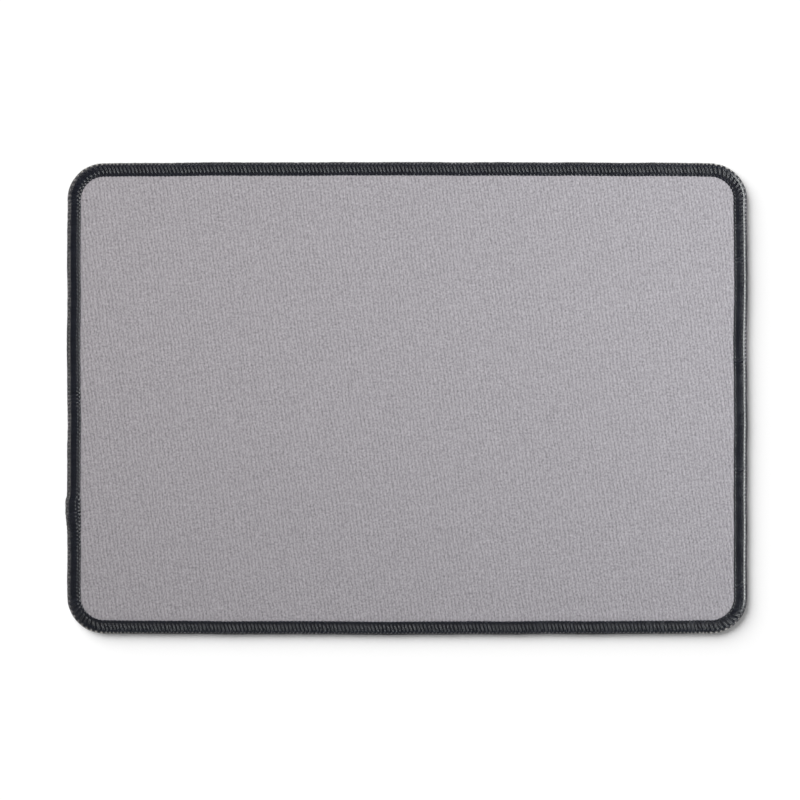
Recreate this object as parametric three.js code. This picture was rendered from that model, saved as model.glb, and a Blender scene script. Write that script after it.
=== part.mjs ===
// Mouse pad with an overlocked edge: a knitted cloth face, bonded by an adhesive film to a foam rubber
// base, with the cut edge of all three bound by the three threads of an overlock seam.
//
// Millimetres. +Z is up, +X runs along the long side and +Y towards the far long side.
// The origin is the middle of the underside.

import * as THREE from "three";

// Outline, measured over the stitching
const PAD_LENGTH = 320;
const PAD_WIDTH = 222;
const CORNER_RADIUS = 17.5;

// Layers, from the underside up
const BASE_THICKNESS = 2.4;
const FILM_THICKNESS = 0.1;
const CLOTH_THICKNESS = 0.5;

// Overlock seam: two looper threads wrap the edge, and the needle thread holds them along its inner side
const SEAM_WIDTH = 6.4;
const LOOPER_COVER = 0.6;
const NEEDLE_WIDTH = 0.8;
const NEEDLE_HEIGHT = 0.4;

// Stretch of the left edge where the end of the seam is sewn over its own first stitches
const OVERLAP_LENGTH = 18;
const OVERLAP_RISE = 0.8;
const OVERLAP_TO_NEAR_EDGE = 59;

// Facets of the round stretches
const CORNER_STEPS = 16;
const OVERLAP_STEPS = 10;
const SHOULDER_STEPS = 5;
const BEAD_STEPS = 4;

// A looper's shoulder is this many covers in radius, so that it clears the square edge of the layers
const SHOULDER_COVERS = 2.5;

// Colours and surfaces
const FOAM_RUBBER = { color: 0x1b1b1c, roughness: 0.95, metalness: 0 };
const ADHESIVE = { color: 0xd9d5cc, roughness: 0.5, metalness: 0 };
const CLOTH = { color: 0xa6a2a5, roughness: 0.9, metalness: 0 };
const THREAD = { color: 0x2d2e32, roughness: 0.6, metalness: 0 };

// Heights and places that follow from the sizes above
const FILM_TOP = BASE_THICKNESS + FILM_THICKNESS;
const CLOTH_TOP = FILM_TOP + CLOTH_THICKNESS;
const PURL_HEIGHT = (CLOTH_TOP + LOOPER_COVER) / 2;
const NEEDLE_OUTER_SIDE = SEAM_WIDTH - NEEDLE_WIDTH;
const OVERLAP_MIDDLE = OVERLAP_TO_NEAR_EDGE - PAD_WIDTH / 2;
const QUARTER_TURN = Math.PI / 2;

// Stations round the outline, counter-clockwise from above: a point, the way out of the pad there, and
// how much the seam rises over its own start.
function cornerStations(centreX, centreY, startAngle) {
  return Array.from({ length: CORNER_STEPS + 1 }, (_, step) => {
    const angle = startAngle + (step / CORNER_STEPS) * QUARTER_TURN;
    const outward = new THREE.Vector2(Math.cos(angle), Math.sin(angle));
    const centre = new THREE.Vector2(centreX, centreY);
    return { point: centre.addScaledVector(outward, CORNER_RADIUS), outward, rise: 0 };
  });
}

function overlapStations() {
  return Array.from({ length: OVERLAP_STEPS + 1 }, (_, step) => {
    const along = step / OVERLAP_STEPS;
    const y = OVERLAP_MIDDLE + (0.5 - along) * OVERLAP_LENGTH;
    const point = new THREE.Vector2(-PAD_LENGTH / 2, y);
    const outward = new THREE.Vector2(-1, 0);
    return { point, outward, rise: OVERLAP_RISE * Math.sin(along * Math.PI) ** 2 };
  });
}

function outlineStations() {
  const x = PAD_LENGTH / 2 - CORNER_RADIUS;
  const y = PAD_WIDTH / 2 - CORNER_RADIUS;
  return [
    ...cornerStations(x, y, 0),
    ...cornerStations(-x, y, QUARTER_TURN),
    ...overlapStations(),
    ...cornerStations(-x, -y, 2 * QUARTER_TURN),
    ...cornerStations(x, -y, 3 * QUARTER_TURN),
  ];
}

const STATIONS = outlineStations();

// A cross-section is drawn in the plane of a station: x runs inwards from the outline, y is the height.
function sectionPoint(inset, height) {
  return new THREE.Vector2(inset, height);
}

// A quarter of an ellipse in a cross-section, both ends included, starting after the given quarter turns.
function quarterArc(centre, inwardRadius, upRadius, quarters, steps) {
  const start = quarters * QUARTER_TURN;
  const arc = new THREE.EllipseCurve(
    centre.x, centre.y, inwardRadius, upRadius, start, start + QUARTER_TURN,
  );
  return arc.getPoints(steps);
}

function placed(station, point) {
  const plan = station.point.clone().addScaledVector(station.outward, -point.x);
  return new THREE.Vector3(plan.x, plan.y, point.y);
}

// Triangles between rings of equal length, each ring closed on itself.
function wallFaces(ringCount, ringLength, closesOnItself) {
  const faces = [];
  const walls = closesOnItself ? ringCount : ringCount - 1;
  for (let ring = 0; ring < walls; ring += 1) {
    const here = ring * ringLength;
    const there = ((ring + 1) % ringCount) * ringLength;
    for (let i = 0; i < ringLength; i += 1) {
      const next = (i + 1) % ringLength;
      faces.push(here + i, here + next, there + next);
      faces.push(here + i, there + next, there + i);
    }
  }
  return faces;
}

function surface(points, faces) {
  const geometry = new THREE.BufferGeometry().setFromPoints(points);
  geometry.setIndex(faces);
  geometry.computeVertexNormals();
  return geometry;
}

// A flat layer: the outline at each point of its edge profile, from the bottom up, with both ends closed.
function layer(profile) {
  const rings = profile.map((point) => STATIONS.map((station) => placed(station, point)));
  const faces = wallFaces(rings.length, STATIONS.length, false);
  const top = (rings.length - 1) * STATIONS.length;
  for (const [a, b, c] of THREE.ShapeUtils.triangulateShape(rings[0], [])) {
    faces.push(a, c, b);
    faces.push(top + a, top + b, top + c);
  }
  return surface(rings.flat(), faces);
}

// A thread's run round the whole edge: its cross-section at each station, which swells with the rise there.
function binding(sectionAt) {
  const rings = STATIONS.map((station) => {
    const section = sectionAt(station.rise);
    return section.map((point) => placed(station, point));
  });
  return surface(rings.flat(), wallFaces(rings.length, rings[0].length, true));
}

// The base is let in round its underside, so that the lower looper thread lies flush with it.
function rubberBase() {
  return layer([
    sectionPoint(SEAM_WIDTH, 0),
    sectionPoint(SEAM_WIDTH, LOOPER_COVER),
    sectionPoint(LOOPER_COVER, LOOPER_COVER),
    sectionPoint(LOOPER_COVER, BASE_THICKNESS),
  ]);
}

function bondFilm() {
  return layer([sectionPoint(LOOPER_COVER, BASE_THICKNESS), sectionPoint(LOOPER_COVER, FILM_TOP)]);
}

function topCloth() {
  return layer([sectionPoint(LOOPER_COVER, FILM_TOP), sectionPoint(LOOPER_COVER, CLOTH_TOP)]);
}

// The upper looper thread lies on the cloth from the needle line out, and over the edge down to the purl.
function upperLooperSection(rise) {
  const cover = LOOPER_COVER + rise;
  const crown = CLOTH_TOP + cover;
  const shoulder = Math.min(SHOULDER_COVERS * cover, crown - PURL_HEIGHT);
  const shoulderCentre = sectionPoint(shoulder - rise, crown - shoulder);
  const foot = Math.min(cover, NEEDLE_OUTER_SIDE - shoulderCentre.x);
  const footCentre = sectionPoint(NEEDLE_OUTER_SIDE - foot, CLOTH_TOP);
  return [
    sectionPoint(LOOPER_COVER, CLOTH_TOP),
    ...quarterArc(footCentre, foot, cover, 0, BEAD_STEPS),
    ...quarterArc(shoulderCentre, shoulder, shoulder, 1, SHOULDER_STEPS),
    sectionPoint(-rise, PURL_HEIGHT),
    sectionPoint(LOOPER_COVER, PURL_HEIGHT),
  ];
}

// The lower looper thread covers the edge below the purl and lies in the recess of the base underneath.
function lowerLooperSection(rise) {
  const shoulder = Math.min(SHOULDER_COVERS * LOOPER_COVER, PURL_HEIGHT);
  const shoulderCentre = sectionPoint(shoulder - rise, shoulder);
  return [
    sectionPoint(LOOPER_COVER, PURL_HEIGHT),
    sectionPoint(-rise, PURL_HEIGHT),
    ...quarterArc(shoulderCentre, shoulder, shoulder, 2, SHOULDER_STEPS),
    sectionPoint(SEAM_WIDTH, 0),
    sectionPoint(SEAM_WIDTH, LOOPER_COVER),
    sectionPoint(LOOPER_COVER, LOOPER_COVER),
  ];
}

// The needle thread is a row of short stitches, here one bead along the inner side of the seam.
function needleSection() {
  const half = NEEDLE_WIDTH / 2;
  const centre = sectionPoint(SEAM_WIDTH - half, CLOTH_TOP);
  const innerSide = quarterArc(centre, half, NEEDLE_HEIGHT, 0, BEAD_STEPS);
  const outerSide = quarterArc(centre, half, NEEDLE_HEIGHT, 1, BEAD_STEPS);
  return [...innerSide, ...outerSide.slice(1)];
}

function subPart(name, geometry, finish) {
  const mesh = new THREE.Mesh(geometry, new THREE.MeshStandardMaterial(finish));
  mesh.name = name;
  return mesh;
}

const mousePad = new THREE.Group();
mousePad.add(
  subPart("rubber_base", rubberBase(), FOAM_RUBBER),
  subPart("bond_film", bondFilm(), ADHESIVE),
  subPart("top_cloth", topCloth(), CLOTH),
  subPart("upper_looper_thread", binding(upperLooperSection), THREAD),
  subPart("lower_looper_thread", binding(lowerLooperSection), THREAD),
  subPart("needle_thread", binding(needleSection), THREAD),
);

export default mousePad;
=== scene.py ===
# %% [markdown]
# # A mouse pad with a sewn edge
#
# The pad is three sheets bonded flat: a knitted cloth face, a film of adhesive and a foam rubber base.
# An overlock seam of three threads goes round the edge and holds them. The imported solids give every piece
# its place and its real size. Here they get their surfaces, and the plain bands of the seam get stitches.

# %% The frame
import math

import bmesh
import bpy
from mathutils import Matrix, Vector


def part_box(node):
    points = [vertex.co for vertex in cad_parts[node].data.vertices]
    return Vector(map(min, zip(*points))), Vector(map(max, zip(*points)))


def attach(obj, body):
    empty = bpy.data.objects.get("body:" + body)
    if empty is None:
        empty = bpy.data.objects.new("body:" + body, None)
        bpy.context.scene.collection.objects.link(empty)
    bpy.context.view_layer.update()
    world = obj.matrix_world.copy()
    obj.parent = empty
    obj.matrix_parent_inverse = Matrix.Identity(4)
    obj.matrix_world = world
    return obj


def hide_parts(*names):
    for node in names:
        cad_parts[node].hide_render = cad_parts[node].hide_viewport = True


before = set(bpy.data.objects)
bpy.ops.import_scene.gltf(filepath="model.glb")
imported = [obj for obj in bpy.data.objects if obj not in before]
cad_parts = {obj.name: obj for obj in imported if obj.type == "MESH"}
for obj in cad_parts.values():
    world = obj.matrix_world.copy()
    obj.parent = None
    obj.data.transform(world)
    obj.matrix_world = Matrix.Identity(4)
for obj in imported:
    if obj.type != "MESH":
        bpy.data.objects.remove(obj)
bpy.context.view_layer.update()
print("solids:", sorted(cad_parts))

# %% [markdown]
# ## Sizes
#
# Everything is in metres and in the frame of the solids, so heights and insets are read from their boxes
# wherever a box gives them. An inset is a distance inwards from the outline. The right edge gives the
# outline, because the left one swells where the seam overlaps its own start.

# %% Sizes
MM = 0.001
_, seam_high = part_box("upper_looper_thread")
_, needle_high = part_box("needle_thread")
cloth_low, cloth_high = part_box("top_cloth")
_, base_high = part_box("rubber_base")

HALF_LENGTH = seam_high.x
HALF_WIDTH = seam_high.y
LAYER_INSET = HALF_LENGTH - cloth_high.x
NEEDLE_HALF_WIDTH = 0.4 * MM
NEEDLE_INSET = HALF_LENGTH - needle_high.x + NEEDLE_HALF_WIDTH
CORNER_RADIUS = 17.5 * MM
CLOTH_TOP = cloth_high.z
CLOTH_BOTTOM = cloth_low.z
print(f"pad {2000 * HALF_LENGTH:.0f} by {2000 * HALF_WIDTH:.0f} mm")
print(f"needle line {1000 * NEEDLE_INSET:.1f} mm in from the outline")

# %% [markdown]
# ## The camera
#
# The photograph looks straight down on the pad, with no lean that could be measured. A lens of 120 mm far
# above it keeps the sides upright. The frame is square and 376 mm wide at the pad, and the pad lies a few
# millimetres right of its middle and a little above it.

# %% Camera
LENS, SENSOR = 120.0, 36.0
FRAME_WIDTH = 376 * MM
PAD_RIGHT_OF_MIDDLE, PAD_ABOVE_MIDDLE = 3.40 * MM, 0.73 * MM

camera = bpy.data.cameras.new("camera")
camera.lens, camera.sensor_width = LENS, SENSOR
camera_object = bpy.data.objects.new("camera", camera)
bpy.context.scene.collection.objects.link(camera_object)
camera_height = CLOTH_TOP + FRAME_WIDTH * LENS / SENSOR
camera_object.location = (-PAD_RIGHT_OF_MIDDLE, -PAD_ABOVE_MIDDLE, camera_height)
bpy.context.scene.camera = camera_object
bpy.context.scene.view_settings.view_transform = "Standard"
print(f"camera {camera_height:.3f} m above the desk")

# %% [markdown]
# ## Wires
#
# Both the finishes and the stitches are node trees. Written out node by node they are hard to read, so one
# small class stands for an output socket. Arithmetic on it adds Math nodes, and its one method adds any other
# node: the settings come first, because they decide which sockets the node has. Square brackets pick another
# output of the same node.

# %% Wires
class Wire:
    """An output socket of a node tree, or the tree alone before it has any."""

    def __init__(self, tree, socket=None):
        self.tree = tree
        self.socket = socket

    @staticmethod
    def find(sockets, key):
        if isinstance(key, int):
            return sockets[key]
        return next(s for s in sockets if s.enabled and key in (s.name, s.identifier))

    def into(self, socket):
        self.tree.links.new(self.socket, socket)

    def node(self, kind, settings=None, sockets=None, output=0):
        made = self.tree.nodes.new(kind)
        for name, value in (settings or {}).items():
            setattr(made, name, value)
        for key, value in (sockets or {}).items():
            socket = self.find(made.inputs, key)
            if isinstance(value, Wire):
                value.into(socket)
            else:
                socket.default_value = value
        return Wire(self.tree, self.find(made.outputs, output) if made.outputs else None)

    def __getitem__(self, output):
        return Wire(self.tree, self.find(self.socket.node.outputs, output))

    def math(self, operation, *values):
        return self.node("ShaderNodeMath", {"operation": operation}, dict(enumerate(values)))

    def vector(self, operation, *values, **sockets):
        settings = {"operation": operation}
        return self.node("ShaderNodeVectorMath", settings, {**dict(enumerate(values)), **sockets})

    def __add__(self, other):
        return self.math("ADD", self, other)

    def __sub__(self, other):
        return self.math("SUBTRACT", self, other)

    def __rsub__(self, other):
        return self.math("SUBTRACT", other, self)

    def __mul__(self, other):
        return self.math("MULTIPLY", self, other)

    def __truediv__(self, other):
        return self.math("DIVIDE", self, other)

    __radd__, __rmul__ = __add__, __mul__


def new_finish(name, constants):
    """A material with these constants on its shader, the wire of its tree, and that shader's inputs."""
    material = bpy.data.materials.new(name)
    material.use_nodes = True
    inputs = material.node_tree.nodes["Principled BSDF"].inputs
    for socket, value in constants.items():
        inputs[socket].default_value = value
    return material, Wire(material.node_tree), inputs


def mixed(tree, factor, low, high):
    """A colour between two, by a factor from 0 to 1."""
    return tree.node(
        "ShaderNodeMix", {"data_type": "RGBA"}, {"Factor": factor, "A": (*low, 1), "B": (*high, 1)}, "Result"
    )


print("wires ready")

# %% [markdown]
# ## The needle line
#
# Every stitch hangs on the needle line, the closed line along which the needle goes through the layers. It
# could be drawn as a Bezier curve, but the cloth needs the same stations to be drawn in at each hole. So one
# function walks the four sides and corners, counter-clockwise from the place on the left edge where the seam
# starts, and both the curve and the sheets take their points from it.

# %% Stations along the needle line
STITCHES = 576
POINTS_PER_STITCH = 4
SEAM_START_Y = -46.5 * MM
# The long edges bow: out in the middle and in towards the corners, this far from one to the other
BOW = 0.7 * MM
turn_radius = CORNER_RADIUS - NEEDLE_INSET
straight_x = 2 * (HALF_LENGTH - CORNER_RADIUS)
straight_y = 2 * (HALF_WIDTH - CORNER_RADIUS)
quarter = turn_radius * math.pi / 2
LAP = 2 * (straight_x + straight_y) + 4 * quarter
PITCH = LAP / STITCHES
# Left, bottom, right and top: the corner where the side starts, its length and the heading out of the pad
SIDES = [
    ((-1, 1), straight_y, math.pi),
    ((-1, -1), straight_x, 1.5 * math.pi),
    ((1, -1), straight_y, 0.0),
    ((1, 1), straight_x, 0.5 * math.pi),
]


def needle_station(distance):
    """The point of the needle line that far from the seam's start, and the way out of the pad there."""
    left = (distance + straight_y / 2 - SEAM_START_Y) % LAP
    for corner, straight, heading in SIDES:
        outward = Vector((math.cos(heading), math.sin(heading), 0))
        along = Vector((-outward.y, outward.x, 0))
        centre = Vector((corner[0] * straight_x / 2, corner[1] * straight_y / 2, 0))
        if left > straight:
            turn = min((left - straight) / turn_radius, math.pi / 2)
            outward = Vector((math.cos(heading + turn), math.sin(heading + turn), 0))
        if left <= straight + quarter:
            place = centre + along * min(left, straight) + outward * turn_radius
            bow = BOW * (1 / 3 - (place.x / HALF_LENGTH) ** 2) * outward.y**2
            return place + outward * bow, outward
        left -= straight + quarter


POINTS = STITCHES * POINTS_PER_STITCH
STATIONS = [needle_station(LAP * i / POINTS) for i in range(POINTS)]
line = bpy.data.curves.new("needle_line", "CURVE")
line.dimensions = "3D"
spline = line.splines.new("POLY")
spline.points.add(len(STATIONS) - 1)
spline.use_cyclic_u = True
for point, (place, _) in zip(spline.points, STATIONS):
    point.co = (*place, 1)
needle_line = bpy.data.objects.new("needle_line", line)
bpy.context.scene.collection.objects.link(needle_line)
print(f"needle line {1000 * LAP:.1f} mm round, {STITCHES} stitches of {1000 * PITCH:.3f} mm")

# %% [markdown]
# ## The thread's finish
#
# The three threads are one smooth spun polyester, nearly black and slightly blue. What shows of them is
# gloss: the strands across the long edges shine grey, and those across the short edges stay dark, because a
# lamp glints on a strand only from beside it. That needs no painting. The strands are real tubes, and an even
# gloss with lamps at the sides gives both. Each stitch is a little lighter or darker than the next, and the
# plies are a fine bump along the thread's own map.

# %% Thread finish
THREAD_MAP, SHADE = "along_thread", "shade"
PLIES, PLY_LENGTH, PLY_DEPTH = 3, 0.55 * MM, 0.02 * MM
DARK_THREAD, LIGHT_THREAD = (0.006, 0.0078, 0.0155), (0.010, 0.0125, 0.0225)
LEAST_ROUGH, ROUGHNESS_SPREAD = 0.16, 0.12

thread_finish, tree, thread = new_finish(
    "spun_thread", {"IOR": 1.6, "Specular IOR Level": 0.9, "Specular Tint": (1.0, 0.99, 0.96, 1)}
)
shade = tree.node("ShaderNodeAttribute", {"attribute_name": SHADE}, output="Fac")
mixed(tree, shade, DARK_THREAD, LIGHT_THREAD).into(thread["Base Color"])
(shade * ROUGHNESS_SPREAD + LEAST_ROUGH).into(thread["Roughness"])
lengthwise = tree.node("ShaderNodeUVMap", {"uv_map": THREAD_MAP})
thread_map = tree.node("ShaderNodeSeparateXYZ", {}, {"Vector": lengthwise})
plies = (thread_map["X"] / PLY_LENGTH + thread_map["Y"] * PLIES) * (2 * math.pi)
ply_bump = tree.node(
    "ShaderNodeBump", {}, {"Strength": 0.4, "Distance": PLY_DEPTH, "Height": tree.math("SINE", plies)}
)
ply_bump.into(thread["Normal"])
print("finish:", thread_finish.name)

# %% [markdown]
# ## One run of stitches
#
# A seam is one stitch, repeated, so it suits Geometry Nodes. Instances along a curve would be the plain way,
# but rigid copies gape at the outside of a corner. This tree sews the stitches in a straight row first, where
# x runs along the seam, y into the pad and z up. Then it bends the whole row round the needle line, so that
# each thread stays whole and the strands fan out at the corners as real ones do. The row is longer than a
# lap: its end climbs over its own first stitches. A smooth noise makes the stitches uneven before they are
# bent, and a slower one lets the whole band wander in and out.

# %% The tree that sews a run
OVERLAP = 18 * MM
OVERLAP_CLIMB, OVERLAP_LEVEL = 3 * MM, 7 * MM
# Noise along the seam: how fine it is, and its shares along the seam, into the pad and up
UNEVEN_SCALE, UNEVEN_SHARES, WANDER_SCALE = 420.0, (1.0, 0.3, 0.25), 28.0
WELD = 0.002 * MM


def climbed(tree, along, start, end):
    """0 before a place along the seam, 1 after another, and a smooth climb between."""
    return tree.node(
        "ShaderNodeMapRange",
        {"interpolation_type": "SMOOTHSTEP"},
        {"Value": along, "From Min": start, "From Max": end},
    )


def seam_tree():
    group = bpy.data.node_groups.new("seam_run", "GeometryNodeTree")
    sockets = {
        "Stitch": "Geometry", "Needle line": "Object", "Stitches": "Int", "Pitch": "Float", "Lap": "Float",
        "Overlap rise": "Float", "Unevenness": "Float", "Wander": "Float", "Seed": "Int",
        "Thread": "Material",
    }
    for name, kind in sockets.items():
        group.interface.new_socket(name, in_out="INPUT", socket_type="NodeSocket" + kind)
    group.interface.new_socket("Seam", in_out="OUTPUT", socket_type="NodeSocketGeometry")

    tree = Wire(group).node("NodeGroupInput")
    step = tree.node("ShaderNodeCombineXYZ", {}, {"X": tree["Pitch"]})
    holes = tree.node("GeometryNodeMeshLine", {"mode": "OFFSET"}, {"Count": tree["Stitches"], "Offset": step})
    row = tree.node("GeometryNodeInstanceOnPoints", {}, {"Points": holes, "Instance": tree["Stitch"]})
    chance = tree.node("FunctionNodeRandomValue", {"data_type": "FLOAT"}, {"Seed": tree["Seed"]}, "Value")
    row = tree.node(
        "GeometryNodeStoreNamedAttribute",
        {"data_type": "FLOAT", "domain": "INSTANCE"},
        {"Geometry": row, "Name": SHADE, "Value": chance},
    )
    row = tree.node("GeometryNodeRealizeInstances", {}, {"Geometry": row})

    place = tree.node("GeometryNodeInputPosition")
    uneven = tree.node(
        "ShaderNodeTexNoise",
        {"noise_dimensions": "4D"},
        {"Vector": place, "W": tree["Seed"], "Scale": UNEVEN_SCALE, "Detail": 1.0},
        "Color",
    )
    uneven = tree.vector("SUBTRACT", uneven, (0.5, 0.5, 0.5))
    uneven = tree.vector("MULTIPLY", uneven, UNEVEN_SHARES)
    uneven = tree.vector("SCALE", uneven, Scale=tree["Unevenness"])
    unmoved = tree.node("ShaderNodeSeparateXYZ", {}, {"Vector": place})
    wander = tree.node(
        "ShaderNodeTexNoise",
        {"noise_dimensions": "1D"},
        {"W": unmoved["X"], "Scale": WANDER_SCALE, "Detail": 1.0},
        "Fac",
    )
    wander = (wander - 0.5) * tree["Wander"]
    place = tree.vector("ADD", place, uneven)
    place = tree.node("ShaderNodeSeparateXYZ", {}, {"Vector": place})
    along, inward, height = place["X"], place["Y"], place["Z"]

    past = along - tree["Lap"]
    climbs = climbed(tree, past, -OVERLAP_CLIMB, OVERLAP_CLIMB)
    falls = climbed(tree, past, OVERLAP_LEVEL, OVERLAP)
    rise = climbs * (1 - falls) * tree["Overlap rise"]
    path = tree.node("GeometryNodeObjectInfo", {}, {"Object": tree["Needle line"]}, "Geometry")
    on_line = tree.node(
        "GeometryNodeSampleCurve",
        {"mode": "LENGTH"},
        {"Curves": path, "Length": tree.math("FLOORED_MODULO", along, tree["Lap"])},
        "Position",
    )
    into_pad = tree.vector("CROSS_PRODUCT", (0, 0, 1), on_line["Tangent"])
    across = tree.vector("SCALE", into_pad, Scale=inward - rise + wander)
    up = tree.node("ShaderNodeCombineXYZ", {}, {"Z": height + rise})
    bent = tree.vector("ADD", tree.vector("ADD", on_line["Position"], across), up)
    seam = tree.node("GeometryNodeSetPosition", {}, {"Geometry": row, "Position": bent})
    seam = tree.node("GeometryNodeMergeByDistance", {}, {"Geometry": seam, "Distance": WELD})
    seam = tree.node("GeometryNodeSetMaterial", {}, {"Geometry": seam, "Material": tree["Thread"]})
    tree.node("NodeGroupOutput", {}, {"Seam": seam})
    return group


SEAM_RUN = seam_tree()
print("tree:", SEAM_RUN.name, len(SEAM_RUN.nodes), "nodes")

# %% [markdown]
# ## Making a piece of thread
#
# A stitch is a short tube along a few points, swept as a mesh. Its rings are turned away from the core of the
# seam, so that the first ring of a stitch matches the last ring of the one before it, and the tree can weld
# them. Behind the strands lies a thin bed of packed filaments, which hides the layers. It is a strip whose
# cross-section is full under a loop and falls back between two loops, where the seam has small dark pits.

# %% Tubes and beds
THREAD_RADIUS = 0.27 * MM
TUBE_SIDES = 5
SEAM_CORE = Vector((0, 2.6 * MM - NEEDLE_INSET, 1.8 * MM))


def in_row(along, inset, height):
    """A point of a stitch in the straight row, from sizes in millimetres."""
    return Vector((along * MM, inset * MM - NEEDLE_INSET, height * MM))


def add_tube(mesh, path, widths, radius, core, joins_next):
    """Adds a tube along a path to a mesh being edited, widened sideways at each point by its share in widths.

    A tube that joins the next stitch has open ends and is smooth. One that stands alone is capped and flat.
    """
    thread_map = mesh.loops.layers.uv.get(THREAD_MAP) or mesh.loops.layers.uv.new(THREAD_MAP)
    shift = Vector((PITCH, 0, 0))
    before = path[-2] - shift if joins_next else path[0]
    after = path[1] + shift if joins_next else path[-1]
    around = [before, *path, after]
    lengths, rings = [0.0], []
    for i, place in enumerate(path):
        tangent = (around[i + 2] - around[i]).normalized()
        out = place - core
        out.x = 0
        side = tangent.cross(out).normalized()
        lift = side.cross(tangent)
        side *= widths[i]
        turns = [2 * math.pi * k / TUBE_SIDES for k in range(TUBE_SIDES)]
        offsets = [radius * (math.cos(turn) * lift + math.sin(turn) * side) for turn in turns]
        rings.append([mesh.verts.new(place + offset) for offset in offsets])
        lengths.append(lengths[-1] + (path[min(i + 1, len(path) - 1)] - place).length)
    for i in range(len(path) - 1):
        for k in range(TUBE_SIDES):
            n = (k + 1) % TUBE_SIDES
            face = mesh.faces.new((rings[i][k], rings[i][n], rings[i + 1][n], rings[i + 1][k]))
            face.smooth = joins_next
            corners = [(i, k), (i, k + 1), (i + 1, k + 1), (i + 1, k)]
            for loop, (ring, step) in zip(face.loops, corners):
                loop[thread_map].uv = (lengths[ring], step / TUBE_SIDES)
    if not joins_next:
        mesh.faces.new(reversed(rings[0]))
        mesh.faces.new(rings[-1])


def add_bed(mesh, section, gap_section, start):
    """Adds one stitch of a closed strip, whose cross-section goes from a gap to a loop and back."""
    rings = []
    for step, points in enumerate((gap_section, section, gap_section)):
        along = start + step / 2 * PITCH / MM
        rings.append([mesh.verts.new(in_row(along, *point)) for point in points])
    for near, far in zip(rings, rings[1:]):
        for i in range(len(section)):
            n = (i + 1) % len(section)
            mesh.faces.new((near[i], far[i], far[n], near[n]))


def add_loop(mesh, strand, purl, lean, shift):
    """Adds a looper's stitch: in from the purl along one strand, round its tip and out along the other."""

    def beside(point, way):
        inset, height, gap, share, _ = point
        return in_row(shift + lean * share + way * gap, inset, height)

    half_pitch = PITCH / MM / 2
    tip, *rest = strand
    path = [in_row(shift + lean - half_pitch, *purl)]
    path += [beside(point, -1) for point in reversed(rest)]
    path += [in_row(shift, tip[0], tip[1])]
    path += [beside(point, 1) for point in rest]
    path += [in_row(shift + lean + half_pitch, *purl)]
    outwards = [width for *_, width in strand] + [1.0]
    add_tube(mesh, path, outwards[:0:-1] + outwards, THREAD_RADIUS, SEAM_CORE, True)


print(f"seam core {1000 * (SEAM_CORE.y + NEEDLE_INSET):.1f} mm in from the outline")

# %% [markdown]
# ## Sewing
#
# Each run is made the same way: the stitch becomes the object's mesh, the tree repeats and bends it, and the
# result is kept as a plain mesh. A looper's chain is open where it was cut off, so its two ends are closed.

# %% From a stitch to a run
def settle(piece, tree, values):
    """Puts a tree on a piece, sets its inputs, and keeps what it gives as the piece's own plain mesh."""
    modifier = piece.modifiers.new(tree.name, "NODES")
    modifier.node_group = tree
    for socket in tree.interface.items_tree:
        if socket.name in values:
            modifier[socket.identifier] = values[socket.name]
    graph = bpy.context.evaluated_depsgraph_get()
    plain = bpy.data.meshes.new_from_object(
        piece.evaluated_get(graph), preserve_all_data_layers=True, depsgraph=graph
    )
    piece.modifiers.clear()
    piece.data = plain
    plain.name = piece.name


def new_piece(name, mesh):
    """An object in the scene from a mesh being edited."""
    data = bpy.data.meshes.new(name)
    mesh.normal_update()
    mesh.to_mesh(data)
    mesh.free()
    piece = bpy.data.objects.new(name, data)
    bpy.context.scene.collection.objects.link(piece)
    return piece


def close_ends(piece):
    """Closes the two cut ends of a thread and of its bed."""
    mesh = bmesh.new()
    mesh.from_mesh(piece.data)
    bmesh.ops.holes_fill(mesh, edges=[edge for edge in mesh.edges if edge.is_boundary], sides=0)
    mesh.to_mesh(piece.data)
    mesh.free()


UNEVENNESS, WANDER, SEAM_SEED = 1.1 * MM, 0.7 * MM, 7
OVERLAP_STITCHES = round(OVERLAP / PITCH)
RUN_STITCHES = STITCHES + OVERLAP_STITCHES


def sew(name, stitch, rise, node):
    """Repeats a stitch round the pad, as a piece that stands for a solid of the frame."""
    piece = new_piece(name, stitch)
    values = {
        "Needle line": needle_line, "Stitches": RUN_STITCHES, "Pitch": PITCH, "Lap": LAP,
        "Overlap rise": rise, "Unevenness": UNEVENNESS, "Wander": WANDER, "Seed": SEAM_SEED,
        "Thread": thread_finish,
    }
    faces = len(piece.data.polygons)
    settle(piece, SEAM_RUN, values)
    close_ends(piece)
    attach(piece, "root")
    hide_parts(node)
    print(f"{name}: {RUN_STITCHES} stitches of {faces} faces, {len(piece.data.polygons)} faces in all")
    return piece


print("stitches sewn over the start:", OVERLAP_STITCHES)

# %% [markdown]
# ## The upper looper thread
#
# On the real seam this thread makes the face of the edge. From the purl, the chain along the outer side, it
# comes up over the shoulder, crosses the cloth, turns under the needle thread and goes back beside itself. So
# each stitch is a narrow U of two strands, whose outer ends run ahead of the inner ones.

# %% Upper looper
LEAN = 1.5
# From the loop's tip outwards: inset, height, half the space between the strands, share of the lean, width
UPPER_STRAND = [
    (5.38, 2.92, 0.00, 0.00, 1.0),
    (5.06, 3.28, 0.20, 0.05, 1.0),
    (3.80, 3.43, 0.24, 0.34, 1.0),
    (1.95, 3.28, 0.28, 0.74, 1.1),
    (1.05, 2.98, 0.22, 0.88, 1.1),
    (0.48, 2.66, 0.18, 0.97, 1.1),
    (0.27, 1.88, 0.36, 1.00, 1.1),
]
UPPER_BED = [
    (0.52, 1.75), (0.30, 2.72), (0.70, 2.96), (1.15, 3.17), (1.90, 3.44), (2.15, 3.13),
    (3.20, 3.10), (5.30, 3.00), (6.58, 2.94), (6.58, 2.60), (0.74, 2.55), (0.74, 1.75),
]
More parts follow.
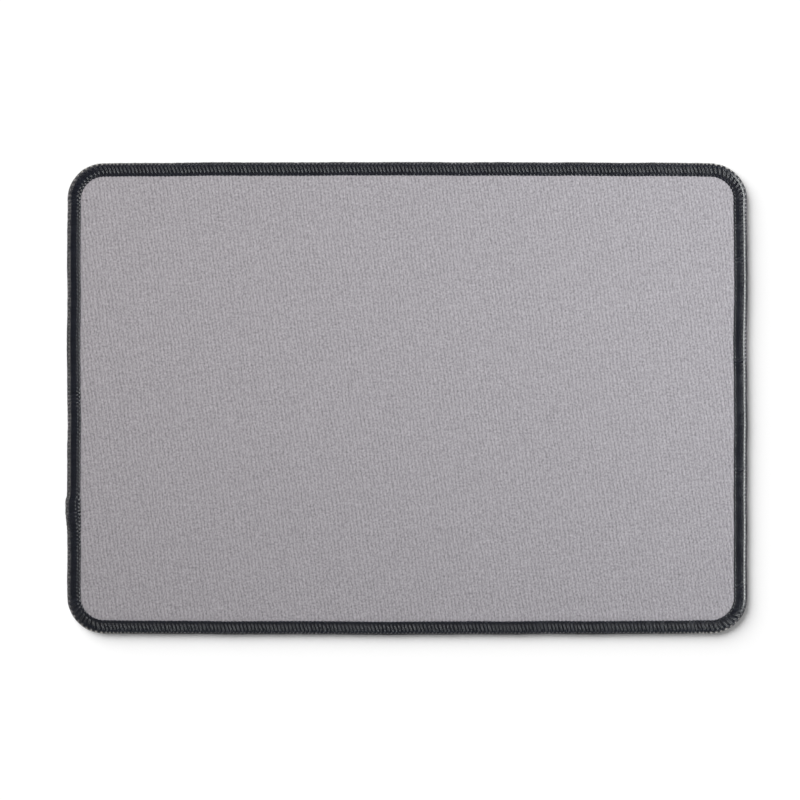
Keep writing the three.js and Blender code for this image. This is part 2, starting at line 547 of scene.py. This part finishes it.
# The bed between two loops, where both its sides fall back
UPPER_GAP = [
    (0.70, 1.75), (0.73, 2.50), (1.10, 2.90), (1.32, 3.22), *UPPER_BED[4:8],
    (6.26, 2.94), (6.26, 2.60), *UPPER_BED[10:],
]
UPPER_PURL, UPPER_RISE = (0.30, 1.70), 0.75 * MM

stitch = bmesh.new()
add_loop(stitch, UPPER_STRAND, UPPER_PURL, LEAN, 0)
add_bed(stitch, UPPER_BED, UPPER_GAP, 0.25 * PITCH / MM)
upper_looper = sew("upper_looper_stitches", stitch, UPPER_RISE, "upper_looper_thread")

# %% [markdown]
# ## The lower looper thread
#
# The same thread again, on the underside: it comes down from the purl, half a stitch behind the upper looper,
# and its strands lie in the recess round the base, flush with the part that rests on the desk.

# %% Lower looper
LOWER_STRAND = [
    (5.35, 0.42, 0.00, 0.00, 1.0),
    (5.10, 0.38, 0.22, 0.05, 1.0),
    (2.90, 0.37, 0.28, 0.48, 1.0),
    (1.45, 0.40, 0.38, 0.75, 1.2),
    (0.62, 0.68, 0.43, 0.92, 1.4),
    (0.30, 1.25, 0.44, 1.00, 1.4),
    (0.27, 1.62, 0.55, 1.00, 1.2),
]
LOWER_BED = [
    (5.30, 0.50), (1.60, 0.50), (0.85, 0.74), (0.52, 1.40),
    (0.52, 1.82), (0.70, 1.82), (0.70, 0.65), (5.30, 0.65),
]
LOWER_PURL, LOWER_RISE = (0.30, 1.80), 0.0

stitch = bmesh.new()
add_loop(stitch, LOWER_STRAND, LOWER_PURL, LEAN, -PITCH / MM / 2)
add_bed(stitch, LOWER_BED, LOWER_BED, 0)
lower_looper = sew("lower_looper_stitches", stitch, LOWER_RISE, "lower_looper_thread")

# %% [markdown]
# ## The needle thread
#
# It holds the two loopers down. Above, it shows as a row of short dashes along the inner side of the band,
# one from each hole to the next and almost in line. Underneath there is the same row again. The thread
# between is inside the layers, so each dash is a short capped tube of its own.

# %% Needle thread
NEEDLE_RADIUS, NEEDLE_FLATNESS = 0.23 * MM, 1.5
NEEDLE_CORE, NEEDLE_RISE = in_row(0, 5.88, 1.6), 0.35 * MM
# Along the seam, inset and height
TOP_DASH = [
    (0.44, 5.78, 2.80), (0.56, 5.80, 3.22), (0.92, 5.88, 3.26), (1.28, 5.96, 3.22), (1.40, 5.98, 2.75),
]
UNDER_DASH = [
    (0.30, 5.40, 0.70), (0.50, 5.46, 0.40), (1.00, 5.58, 0.32), (1.50, 5.70, 0.40), (1.70, 5.74, 0.70),
]

stitch = bmesh.new()
for dash in (TOP_DASH, UNDER_DASH):
    path = [in_row(*point) for point in dash]
    add_tube(stitch, path, [NEEDLE_FLATNESS] * len(path), NEEDLE_RADIUS, NEEDLE_CORE, False)
needle = sew("needle_stitches", stitch, NEEDLE_RISE, "needle_thread")
bpy.data.objects.remove(needle_line)

# %% [markdown]
# ## Sheets as rings
#
# The cloth and the base are flat sheets with a worked edge. A plain extrusion has nowhere to put the groove
# along the seam, and a fine grid over the whole sheet wastes faces on its flat middle. So a sheet is made of
# rings, each parallel to the needle line: close together and with a point at every quarter stitch near the
# seam, and with half as many points at a time farther in, until one flat face fills the middle.

# %% Rings
def ring_sheet(name, rings):
    """A closed sheet from rings: the underside from the middle out, the edge, and the face back in.

    A ring is its inset, its height as a function of a station's number, and the step between its stations.
    """
    mesh = bmesh.new()
    made = []
    for inset, height, step in rings:
        ring = []
        for i in range(0, len(STATIONS), step):
            place, outward = STATIONS[i]
            point = place + outward * (NEEDLE_INSET - inset)
            ring.append(mesh.verts.new((point.x, point.y, height(i))))
        made.append(ring)
    mesh.faces.new(reversed(made[0]))
    mesh.faces.new(made[-1])
    for here, there in zip(made, made[1:]):
        spans = min(len(here), len(there))
        near, far = len(here) // spans, len(there) // spans
        for i in range(spans):
            edge = [here[(i * near + k) % len(here)] for k in range(near + 1)]
            back = [there[(i * far + k) % len(there)] for k in range(far, -1, -1)]
            mesh.faces.new(edge + back).smooth = True
    return new_piece(name, mesh)


def flat_at(height):
    """The height of a ring that is level all round."""
    return lambda station: height


print("stations on a full ring:", len(STATIONS))

# %% [markdown]
# ## The cloth's finish
#
# The face is a fine polyester knit of one colour, a mid grey with a touch of violet. Two things show from
# arm's length: faint ribs 1.75 mm apart that lean a little and wander, and a grain of about half a millimetre
# from the single loops, drawn out along the ribs. Both are written as maths on the sheet's own coordinates.
# They change the colour a little and the height a little, and the cloth stays matt with a soft sheen.

# %% Cloth finish
RIB_SPACING, RIB_LEAN = 1.755 * MM, 0.147
RIB_WANDER, RIB_WANDER_SCALE = 3.5, 95.0
LOOP_SIZE, LOOP_STRETCH = 0.48 * MM, (1.0, 0.6, 1.0)
RIB_SHARE, LOOP_SHARE = 0.095, 1.15
DARK_KNIT, LIGHT_KNIT = (0.150, 0.1425, 0.1525), (0.620, 0.589, 0.630)

cloth_finish, tree, cloth_inputs = new_finish(
    "knitted_face", {"Specular IOR Level": 0.25, "Sheen Weight": 0.06, "Sheen Roughness": 0.5}
)
spot = tree.node("ShaderNodeTexCoord", output="Object")
xyz = tree.node("ShaderNodeSeparateXYZ", {}, {"Vector": spot})
wandering = tree.node(
    "ShaderNodeTexNoise", {}, {"Vector": spot, "Scale": RIB_WANDER_SCALE, "Detail": 2.0}, "Fac"
)
rib_angle = (xyz["X"] + xyz["Y"] * RIB_LEAN) * (2 * math.pi / RIB_SPACING)
ribs = tree.math("SINE", rib_angle + (wandering - 0.5) * (2 * RIB_WANDER))
stretched = tree.vector("MULTIPLY", spot, LOOP_STRETCH)
loops = tree.node(
    "ShaderNodeTexNoise", {}, {"Vector": stretched, "Scale": 1 / LOOP_SIZE, "Detail": 1.0}, "Fac"
)
tone = ribs * RIB_SHARE + (loops - 0.5) * LOOP_SHARE + 0.5
tone = tree.node("ShaderNodeClamp", {}, {"Value": tone})
mixed(tree, tone, DARK_KNIT, LIGHT_KNIT).into(cloth_inputs["Base Color"])
(0.96 - tone * 0.12).into(cloth_inputs["Roughness"])
knit_bump = tree.node("ShaderNodeBump", {}, {"Strength": 0.25, "Distance": 0.05 * MM, "Height": loops})
knit_bump.into(cloth_inputs["Normal"])
print("finish:", cloth_finish.name)

# %% [markdown]
# ## The cloth face
#
# The cloth is cut with the layers under it and lies flat, so it is a thin closed sheet. Along the needle line
# the stitches pull it down into a groove, deepest at each hole, and just inside the groove it swells a
# little. Nothing hangs or drapes, so a simulation would have nothing to do.

# %% Cloth
# Underneath: inset, step between stations
UNDER_RINGS = [(14, 16), (10, 8), (7, 4), (3, 2)]
# On the face: inset, how far the cloth is pulled down at a hole and between holes, step between stations
FACE_RINGS = [
    (0.6, 0.42, 0.42, 1), (1.4, 0.20, 0.20, 1), (5.2, 0.15, 0.15, 1), (5.8, 0.20, 0.15, 1),
    (6.3, 0.28, 0.12, 1), (6.8, 0.17, 0.07, 1), (7.4, 0.04, 0.01, 1), (8.2, -0.03, -0.03, 1),
    (9.2, -0.02, -0.02, 2), (10.4, 0.0, 0.0, 4), (12.0, 0.0, 0.0, 8), (14.0, 0.0, 0.0, 16),
]


def pulled(at_hole, between):
    """The height of the cloth along a ring that is pulled down at each hole."""
    mean, swing = (at_hole + between) / 2, (at_hole - between) / 2
    return lambda i: CLOTH_TOP - MM * (mean + swing * math.cos(2 * math.pi * i / POINTS_PER_STITCH))


under = [(inset * MM, flat_at(CLOTH_BOTTOM), step) for inset, step in UNDER_RINGS]
edge = [(LAYER_INSET, flat_at(CLOTH_BOTTOM), 1)]
face = [(inset * MM, pulled(hole, between), step) for inset, hole, between, step in FACE_RINGS]
cloth_face = ring_sheet("cloth_face", under + edge + face)
cloth_face.data.materials.append(cloth_finish)
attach(cloth_face, "root")
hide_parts("top_cloth")

# %% [markdown]
# ## The film
#
# A hot-melt film bonds cloth to rubber. Its solid has the right shape already and only its edge could ever be
# seen, so it keeps that shape and gets a milky, slightly mottled finish.

# %% Film finish
MOTTLE_SCALE = 300.0
film_finish, tree, film_inputs = new_finish("bonding_film", {"Specular IOR Level": 0.4})
spot = tree.node("ShaderNodeTexCoord", output="Object")
mottle = tree.node("ShaderNodeTexNoise", {}, {"Vector": spot, "Scale": MOTTLE_SCALE, "Detail": 3.0}, "Fac")
mixed(tree, mottle, (0.62, 0.59, 0.53), (0.74, 0.71, 0.65)).into(film_inputs["Base Color"])
(mottle * 0.3 + 0.35).into(film_inputs["Roughness"])
bond_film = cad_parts["bond_film"]
bond_film.material_slots[0].material = film_finish
print("film keeps its solid:", bond_film.name)

# %% [markdown]
# ## The foam rubber base
#
# The photograph doesn't show the underside. Such a base is open-celled natural rubber with a fine grip
# texture pressed into it, here small pyramids with cut tips, and a matt black finish with pores. The pits of
# the pores are painted a little darker, as painted shade. The pyramids repeat over a plane, so Geometry
# Nodes place them on a grid and leave out those outside the rounded outline.

# %% Foam finish
PORE_SCALE, PORE_DEPTH, CLOUD_SCALE = 2600.0, 0.06 * MM, 140.0
DARK_FOAM, LIGHT_FOAM = (0.006, 0.006, 0.0065), (0.017, 0.017, 0.018)
foam_finish, tree, foam_inputs = new_finish("foam_rubber", {"Specular IOR Level": 0.3})
spot = tree.node("ShaderNodeTexCoord", output="Object")
pore_pits_and_shade = tree.node("ShaderNodeTexVoronoi", {}, {"Vector": spot, "Scale": PORE_SCALE}, "Distance")
cloud = tree.node("ShaderNodeTexNoise", {}, {"Vector": spot, "Scale": CLOUD_SCALE, "Detail": 4.0}, "Fac")
# The colour is darker in the pore pits, which is painted shade in the pores, and a random cloud of tone is
# mixed in.
mixed(tree, pore_pits_and_shade * 0.6 + cloud * 0.4, DARK_FOAM, LIGHT_FOAM).into(foam_inputs["Base Color"])
(0.98 - cloud * 0.2).into(foam_inputs["Roughness"])
pore_bump = tree.node("ShaderNodeBump", {}, {"Strength": 0.5, "Distance": PORE_DEPTH, "Height": pore_pits_and_shade})
pore_bump.into(foam_inputs["Normal"])
print("finish:", foam_finish.name)

# %% The tree that presses the grip
CORNER_SLACK = 1.001


def grip_tree():
    group = bpy.data.node_groups.new("grip", "GeometryNodeTree")
    sockets = {
        "Sheet": "Geometry", "Length": "Float", "Width": "Float", "Corner": "Float", "Along": "Int",
        "Across": "Int", "Tip": "Float", "Foot": "Float", "Depth": "Float", "Rubber": "Material",
    }
    for name, kind in sockets.items():
        group.interface.new_socket(name, in_out="INPUT", socket_type="NodeSocket" + kind)
    group.interface.new_socket("Base", in_out="OUTPUT", socket_type="NodeSocketGeometry")

    tree = Wire(group).node("NodeGroupInput")

    def past_corner(place, side):
        straight = side * 0.5 - tree["Corner"]
        return tree.math("MAXIMUM", tree.math("ABSOLUTE", place) - straight, 0.0)

    sizes = {"Size X": tree["Length"], "Size Y": tree["Width"]}
    counts = {"Vertices X": tree["Along"], "Vertices Y": tree["Across"]}
    grid = tree.node("GeometryNodeMeshGrid", {}, {**sizes, **counts})
    spot = tree.node("ShaderNodeSeparateXYZ", {}, {"Vector": tree.node("GeometryNodeInputPosition")})
    past_x = past_corner(spot["X"], tree["Length"])
    past_y = past_corner(spot["Y"], tree["Width"])
    reach = tree["Corner"] * tree["Corner"] * CORNER_SLACK
    inside = tree.math("LESS_THAN", past_x * past_x + past_y * past_y, reach)
    stud = tree.node(
        "GeometryNodeMeshCone",
        {"fill_type": "NGON"},
        {"Vertices": 4, "Radius Top": tree["Foot"], "Radius Bottom": tree["Tip"], "Depth": tree["Depth"]},
    )
    on_points = {"Points": grid, "Selection": inside, "Instance": stud}
    studs = tree.node("GeometryNodeInstanceOnPoints", {}, on_points)
    both = tree.node("GeometryNodeJoinGeometry", {}, {"Geometry": studs})
    tree["Sheet"].into(both.socket.node.inputs[0])
    both = tree.node("GeometryNodeRealizeInstances", {}, {"Geometry": both})
    both = tree.node("GeometryNodeSetShadeSmooth", {}, {"Geometry": both, "Shade Smooth": False})
    both = tree.node("GeometryNodeSetMaterial", {}, {"Geometry": both, "Material": tree["Rubber"]})
    tree.node("NodeGroupOutput", {}, {"Base": both})
    return group


GRIP = grip_tree()
print("tree:", GRIP.name, len(GRIP.nodes), "nodes")

# %% Base
RECESS_INSET, RECESS_HEIGHT = 6.4 * MM, 0.6 * MM
GRIP_DEPTH, GRIP_SPACING, GRIP_MARGIN = 0.25 * MM, 2.6 * MM, 7.6 * MM
STUD_TIP, STUD_FOOT, STUD_SUNK = 0.5 * MM, 1.05 * MM, 0.05 * MM
BASE_STEP, MIDDLE_INSET = 8, 14 * MM

profile = [
    (MIDDLE_INSET, GRIP_DEPTH), (RECESS_INSET, GRIP_DEPTH), (RECESS_INSET, RECESS_HEIGHT),
    (LAYER_INSET, RECESS_HEIGHT), (LAYER_INSET, base_high.z), (MIDDLE_INSET, base_high.z),
]
rings = [(inset, flat_at(height), BASE_STEP) for inset, height in profile]
foam_base = ring_sheet("foam_base", rings)
grip_length, grip_width = 2 * (HALF_LENGTH - GRIP_MARGIN), 2 * (HALF_WIDTH - GRIP_MARGIN)
values = {
    "Length": grip_length, "Width": grip_width, "Corner": CORNER_RADIUS - GRIP_MARGIN,
    "Along": round(grip_length / GRIP_SPACING) + 1, "Across": round(grip_width / GRIP_SPACING) + 1,
    "Tip": STUD_TIP, "Foot": STUD_FOOT, "Depth": GRIP_DEPTH + STUD_SUNK, "Rubber": foam_finish,
}
settle(foam_base, GRIP, values)
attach(foam_base, "root")
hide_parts("rubber_base")
print(f"base: {len(foam_base.data.polygons)} faces, grip of {values['Along']} by {values['Across']} studs")

# %% [markdown]
# ## The floor and the light
#
# The photograph is a cut-out look: pure white all round, a soft shadow along the right and near edges only,
# and a cloth that is a little brighter on the right. One set of lamps can't give all of that, so light
# linking shares the work. Three soft boxes at the sides light the pad alone, one on the right and two on the
# left. Of those two only the low one glints on the threads, because the left edge hardly shines in the
# photograph. A wide sun from the far left lights the floor alone and casts the shadow. The background and a
# part of the floor's own white reach the camera only, and there is no metal or glass here to mirror them.

# %% Floor
def lit_by(name, objects):
    """A collection for light linking: the objects that a lamp lights."""
    collection = bpy.data.collections.new(name)
    for obj in objects:
        collection.objects.link(obj)
    return collection


FLOOR_SIZE, FLOOR_DROP = 6.0, 0.05 * MM
FLOOR_WHITE, FLOOR_GLOW = 0.85, 0.17
floor_finish, tree, floor_inputs = new_finish(
    "white_floor",
    {
        "Base Color": (FLOOR_WHITE,) * 3 + (1,),
        "Roughness": 1.0,
        "Specular IOR Level": 0.0,
        "Emission Strength": 1.0,
    },
)
seen = tree.node("ShaderNodeLightPath", output="Is Camera Ray")
mixed(tree, seen, (0, 0, 0), (FLOOR_GLOW,) * 3).into(floor_inputs["Emission Color"])
mesh = bmesh.new()
bmesh.ops.create_grid(mesh, x_segments=1, y_segments=1, size=FLOOR_SIZE / 2)
bmesh.ops.translate(mesh, verts=mesh.verts, vec=(0, 0, -FLOOR_DROP))
floor = new_piece("floor", mesh)
floor.data.materials.append(floor_finish)
pad_light = lit_by("pad_light", [cloth_face, foam_base, bond_film, upper_looper, lower_looper, needle])
floor_light = lit_by("floor_light", [floor])

# %% Lamps
def aim(lamp, name, place, target, lit):
    """Puts a lamp at a place, pointing at a target and lighting only these objects."""
    obj = bpy.data.objects.new(name, lamp)
    obj.location = place
    obj.rotation_euler = (Vector(target) - Vector(place)).to_track_quat("-Z", "Y").to_euler()
    obj.light_linking.receiver_collection = lit
    obj.visible_camera = False
    bpy.context.scene.collection.objects.link(obj)
    return obj


BOX_DEPTH, BOX_LENGTH, BEAM = 0.42, 0.7, math.radians(120)
COOL, WARM = (0.955, 0.985, 1.0), (1.0, 0.965, 0.925)
# Name, place, how far past the pad's middle it points, watts, colour, whether it glints on the threads
BOXES = [
    ("right_box", (0.50, 0.14, 0.46), 0.20, 2.48, COOL, True),
    ("left_box", (-0.80, 0.20, 0.37), 0.10, 0.64, WARM, True),
    ("left_fill", (-0.50, 0.22, 0.46), 0.13, 1.05, WARM, False),
]
for name, place, target_y, watts, colour, glints in BOXES:
    box = bpy.data.lights.new(name, "AREA")
    box.shape, box.energy, box.color = "RECTANGLE", watts, colour
    box.size, box.size_y = BOX_LENGTH, BOX_DEPTH
    box.spread = BEAM
    aim(box, name, place, (0, target_y, 0), pad_light).visible_glossy = glints

SUN_HEIGHT, SUN_WIDTH, SUN_STRENGTH = math.radians(22), math.radians(68), 7.4
sun = bpy.data.lights.new("far_left_sun", "SUN")
sun.angle, sun.energy = SUN_WIDTH, SUN_STRENGTH
across = math.cos(SUN_HEIGHT) / math.sqrt(2)
aim(sun, "far_left_sun", (-across, across, math.sin(SUN_HEIGHT)), (0, 0, 0), floor_light)

# %% World
AMBIENT = 0.12
world = bpy.data.worlds.new("white_room")
bpy.context.scene.world = world
world.use_nodes = True
background = world.node_tree.nodes["Background"].inputs
background["Color"].default_value = (1, 1, 1, 1)
seen = Wire(world.node_tree).node("ShaderNodeLightPath", output="Is Camera Ray")
(seen * (1 - AMBIENT) + AMBIENT).into(background["Strength"])
print("ambient light:", AMBIENT)
